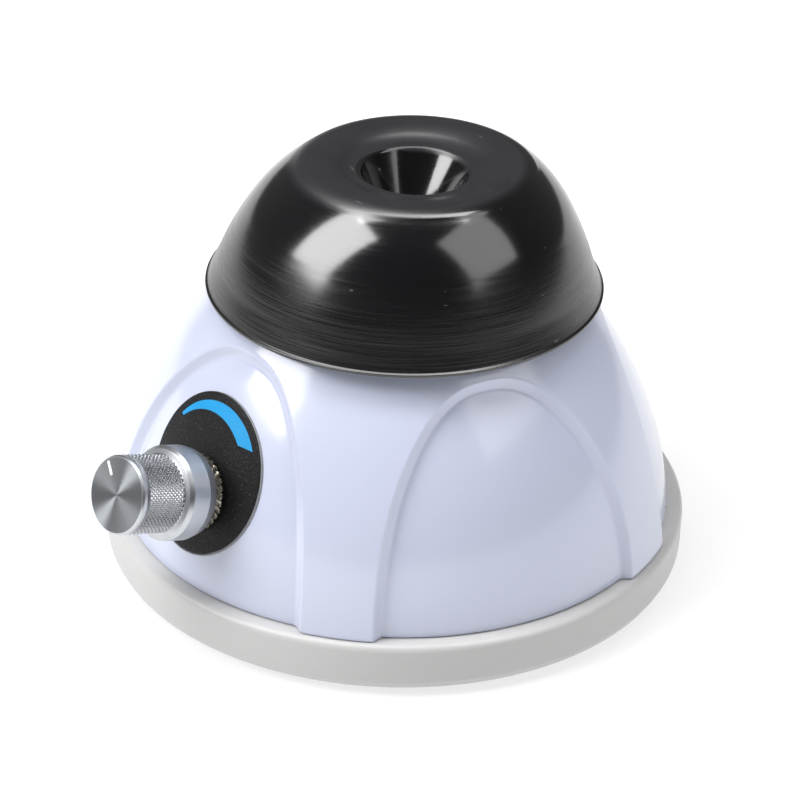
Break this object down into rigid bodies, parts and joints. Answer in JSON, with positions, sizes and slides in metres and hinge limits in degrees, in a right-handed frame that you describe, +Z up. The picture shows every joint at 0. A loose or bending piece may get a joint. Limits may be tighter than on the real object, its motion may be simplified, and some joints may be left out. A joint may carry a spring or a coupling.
{
  "type": "vortex mixer",
  "caption": "Compact touch-operated vortex mixer: white domed case with arched panels on a round base, black rubber cup that orbits on an eccentric bearing, and a knurled aluminium speed knob.",
  "frame": {"origin": "on the dome's vertical axis, at the bench plane under the foot ring", "axes": "+Z up through the dome's axis, -Y toward the speed knob, +X to the knob's right as seen by someone facing the knob"},
  "size_m": [0.118, 0.1326, 0.0853],
  "materials": {
    "base_plastic": "satin warm white",
    "foot_rubber": "matte black",
    "ballast_steel": "plain mild steel",
    "screw_steel": "zinc plated",
    "case_plastic": "glossy cool white",
    "label_film": "fine textured black with a blue tapered arc",
    "knob_aluminium": "diamond knurled barrel, spun face",
    "pointer_paint": "white inlay",
    "dark_steel": "black oxide",
    "nickel": "nickel plated",
    "phosphor_bronze": "bare spring bronze",
    "control_housing": "dull green moulding",
    "carbon_track": "carbon film",
    "tinned": "tinned",
    "plate_aluminium": "milled",
    "sintered_bronze": "sintered bronze",
    "ground_steel": "ground",
    "spring_steel": "spring wire",
    "nylon": "natural nylon",
    "motor_steel": "zinc plated",
    "black_nylon": "black nylon",
    "ferrite": "ferrite",
    "carbon": "carbon",
    "board_laminate": "green laminate",
    "brass": "brass",
    "lead_insulation": "red insulation",
    "lamination_steel": "laminated steel",
    "copper": "enamelled copper",
    "hub_aluminium": "turned",
    "bearing_steel": "polished",
    "carrier_acetal": "machined acetal",
    "cup_rubber": "smooth, slightly glossy black",
    "plunger_red": "red nylon",
    "capacitor_sleeve": "dark blue sleeve"
  },
  "bodies": {
    "housing": {"base_plate": "base_plastic", "foot_ring": "foot_rubber", "ballast_plate": "ballast_steel", "ballast_screws": "screw_steel", "shell": "case_plastic", "case_screws": "screw_steel", "scale_label": "label_film", "control_case": "control_housing", "control_track": "carbon_track", "control_terminals": "tinned", "control_bushing": "nickel", "toothed_washer": "nickel", "control_nut": "nickel", "guide_posts": "ground_steel", "retaining_clips": "dark_steel", "return_springs": "spring_steel", "motor_leads": "lead_insulation", "circuit_board": "board_laminate", "board_spacers": "nylon", "board_screws": "screw_steel", "dc_jack": "black_nylon", "dc_jack_pin": "nickel", "press_switch": "black_nylon", "speed_chip": "black_nylon", "smoothing_capacitors": "capacitor_sleeve", "drive_transistor": "black_nylon"},
    "drive_carriage": {"drive_plate": "plate_aluminium", "guide_bushings": "sintered_bronze", "antirotation_pins": "ground_steel", "switch_striker": "nylon", "motor_can": "motor_steel", "motor_end_bell": "black_nylon", "motor_bushings": "sintered_bronze", "motor_magnets": "ferrite", "motor_screws": "screw_steel", "motor_brushes": "carbon", "terminal_board": "board_laminate", "motor_terminals": "brass"},
    "rotor": {"motor_shaft": "ground_steel", "armature_core": "lamination_steel", "armature_windings": "copper", "commutator": "copper", "eccentric_hub": "hub_aluminium", "hub_set_screw": "dark_steel", "counterweight": "ballast_steel", "pin_screw": "screw_steel", "bearing_inner_ring": "bearing_steel"},
    "ball_cage": {"bearing_balls": "bearing_steel", "bearing_cage": "nylon"},
    "cup_head": {"bearing_outer_ring": "bearing_steel", "cup_carrier": "carrier_acetal", "rubber_cup": "cup_rubber"},
    "speed_dial": {"speed_knob": "knob_aluminium", "knob_pointer": "pointer_paint", "knob_set_screw": "dark_steel", "control_shaft": "nickel", "control_wiper": "phosphor_bronze"},
    "switch_button": {"switch_plunger": "plunger_red"}
  },
  "joints": [
    {"name": "press_stroke", "type": "slide", "parent": "housing", "child": "drive_carriage", "axis": [0, 0, 1], "range_m": [-0.001, 0], "stiffness_N_per_m": 2000, "springref_m": 0.004, "deforming": ["return_springs", "motor_leads"]},
    {"name": "drive_spin", "type": "hinge", "parent": "drive_carriage", "child": "rotor", "pos_m": [0, 0, 0.05], "axis": [0, 0, 1], "continuous": true},
    {"name": "cup_orbit", "type": "hinge", "parent": "rotor", "child": "cup_head", "pos_m": [0.00185, -0.00075, 0.058], "axis": [0, 0, 1], "continuous": true},
    {"name": "cage_roll", "type": "hinge", "parent": "rotor", "child": "ball_cage", "pos_m": [0.00185, -0.00075, 0.058], "axis": [0, 0, 1], "continuous": true},
    {"name": "speed_turn", "type": "hinge", "parent": "housing", "child": "speed_dial", "pos_m": [0, -0.05166, 0.03027], "axis": [0, -0.9397, 0.342], "range_deg": [-175, 125]},
    {"name": "switch_stroke", "type": "slide", "parent": "housing", "child": "switch_button", "axis": [0, 0, 1], "range_m": [-0.001, 0]}
  ],
  "couplings": [
    {"joint": "cup_orbit", "follows": "drive_spin", "ratio": -1},
    {"joint": "cage_roll", "follows": "drive_spin", "ratio": -0.6},
    {"joint": "switch_stroke", "follows": "press_stroke", "ratio": 1}
  ]
}
